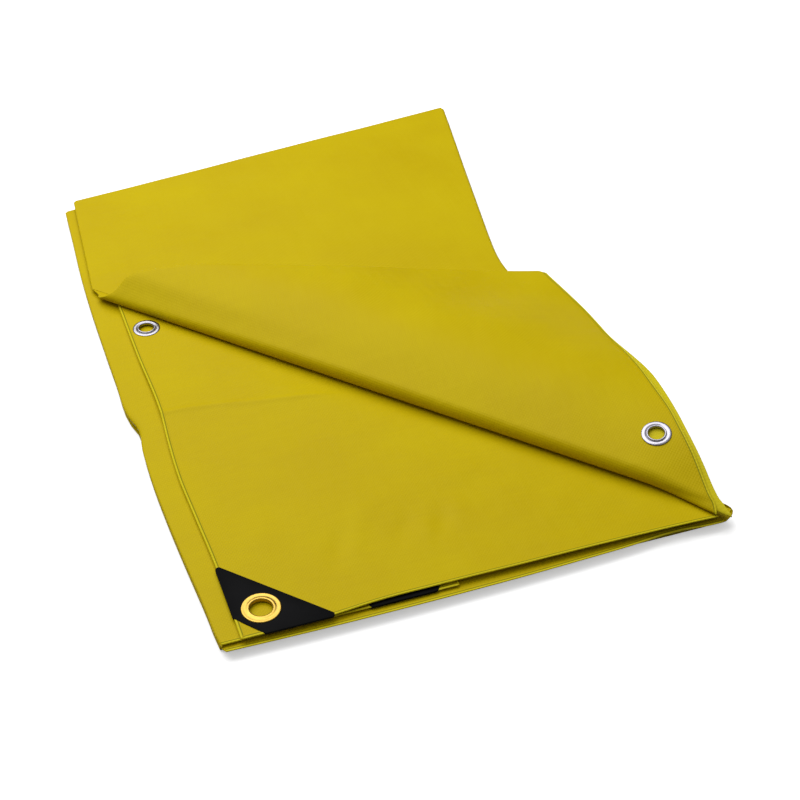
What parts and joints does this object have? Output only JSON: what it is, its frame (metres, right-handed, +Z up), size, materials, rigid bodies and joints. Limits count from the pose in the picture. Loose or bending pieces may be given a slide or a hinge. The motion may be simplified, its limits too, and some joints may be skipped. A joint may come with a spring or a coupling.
{
  "type": "folded protective curtain sheet",
  "caption": "Folded yellow coated-weave protective curtain sheet with hemmed edges, black corner patches, metal eyelets and one double-ply corner turned back.",
  "frame": {"origin": "centre of the folded sheet's bounding box, on the surface it lies on", "axes": "+X along the near edge towards the roll's hemmed end, +Y towards the far cross fold, +Z up"},
  "size_m": [0.443, 0.6998, 0.0457],
  "materials": {
    "cloth": "coated tape weave with a low plastic sheen",
    "hem": "doubled coated weave, welded and stitched",
    "corner_patch": "matte moulded",
    "brass": "bright pressed brass",
    "steel": "nickel-plated pressed steel"
  },
  "bodies": {
    "lower_bundle": {"bottom_length": "cloth", "middle_length": "cloth", "near_cross_fold": "cloth", "far_fold_lower": "cloth"},
    "top_length": {"base_ply": "cloth", "short_ply": "cloth", "face_ply": "cloth", "rear_inner_ply": "cloth", "rear_outer_ply": "cloth", "left_edge_fold": "cloth", "rear_left_fold": "cloth", "right_inner_fold": "cloth", "right_outer_fold": "cloth", "far_fold_upper": "cloth", "face_left_hem": "hem", "face_near_hem": "hem", "short_free_hem": "hem", "short_near_hem": "hem", "base_near_hem": "hem", "corner_patch_face": "corner_patch", "corner_patch_short": "corner_patch", "brass_eyelet_face": "brass", "brass_washer_face": "brass", "brass_eyelet_short": "brass", "brass_washer_short": "brass", "steel_eyelet_left": "steel", "steel_washer_left": "steel"},
    "flap": {"flap_face_ply": "cloth", "flap_under_ply": "cloth", "flap_left_fold": "cloth", "flap_face_hem": "hem", "flap_under_hem": "hem", "steel_eyelet_flap": "steel", "steel_washer_flap": "steel"}
  },
  "joints": [
    {"name": "far_fold_hinge", "type": "hinge", "parent": "lower_bundle", "child": "top_length", "pos_m": [0.01029, 0.32062, 0.0077], "axis": [-0.9904, -0.1381, 0], "range_deg": [0, 165]},
    {"name": "corner_roll_hinge", "type": "hinge", "parent": "top_length", "child": "flap", "pos_m": [-0.00652, -0.10582, 0.0232], "axis": [0.6743, -0.7385, 0], "range_deg": [0, 150]}
  ]
}
